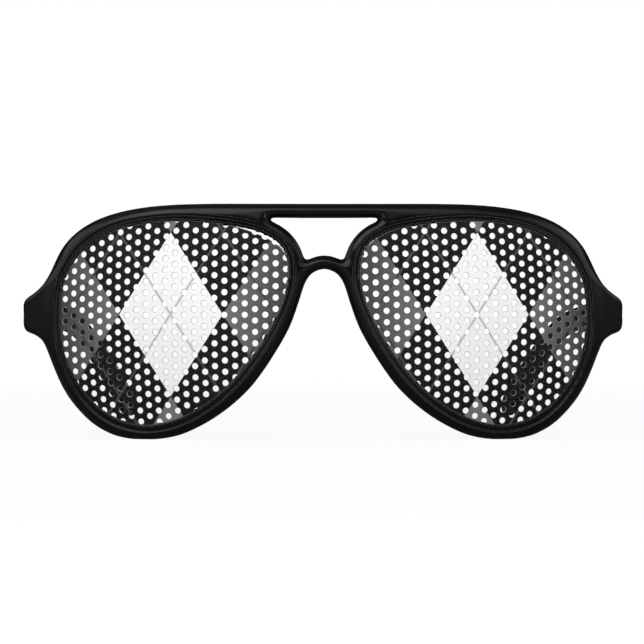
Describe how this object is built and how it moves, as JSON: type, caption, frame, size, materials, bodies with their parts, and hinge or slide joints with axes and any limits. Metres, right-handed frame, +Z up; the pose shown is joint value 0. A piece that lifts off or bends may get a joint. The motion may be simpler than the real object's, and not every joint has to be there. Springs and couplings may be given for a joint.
{
  "type": "novelty sunglasses",
  "caption": "Novelty aviator sunglasses: one-piece double-bridge front, clear lenses with perforated printed film, folding temples on screwed hinges.",
  "frame": {"origin": "centre of the open glasses on the surface they stand on, under the middle of their bounding box", "axes": "+Z up, -Y the way the front faces, +X the wearer's left"},
  "size_m": [0.1466, 0.1665, 0.0563],
  "materials": {
    "frame_plastic": "black injection-moulded polycarbonate, satin gloss",
    "clear_lens": "clear polished plastic lens",
    "printed_film": "white perforated vinyl film printed black, grey and white",
    "hinge_metal": "nickel-silver hinge stampings",
    "screw_metal": "slotted steel screw"
  },
  "bodies": {
    "front": {"front_frame": "frame_plastic", "lens_left": "clear_lens", "lens_right": "clear_lens", "print_film_left": "printed_film", "print_film_right": "printed_film", "front_hinge_leaf_left": "hinge_metal", "front_hinge_leaf_right": "hinge_metal", "hinge_screw_left": "screw_metal", "hinge_screw_right": "screw_metal"},
    "left_arm": {"temple_left": "frame_plastic", "temple_hinge_leaf_left": "hinge_metal"},
    "right_arm": {"temple_right": "frame_plastic", "temple_hinge_leaf_right": "hinge_metal"}
  },
  "joints": [
    {"name": "temple_left_fold", "type": "hinge", "parent": "front", "child": "left_arm", "pos_m": [0.06815, -0.05189, 0.03], "axis": [0, 0, 1], "range_deg": [0, 88]},
    {"name": "temple_right_fold", "type": "hinge", "parent": "front", "child": "right_arm", "pos_m": [-0.06815, -0.05189, 0.03], "axis": [0, 0, -1], "range_deg": [0, 84]}
  ]
}
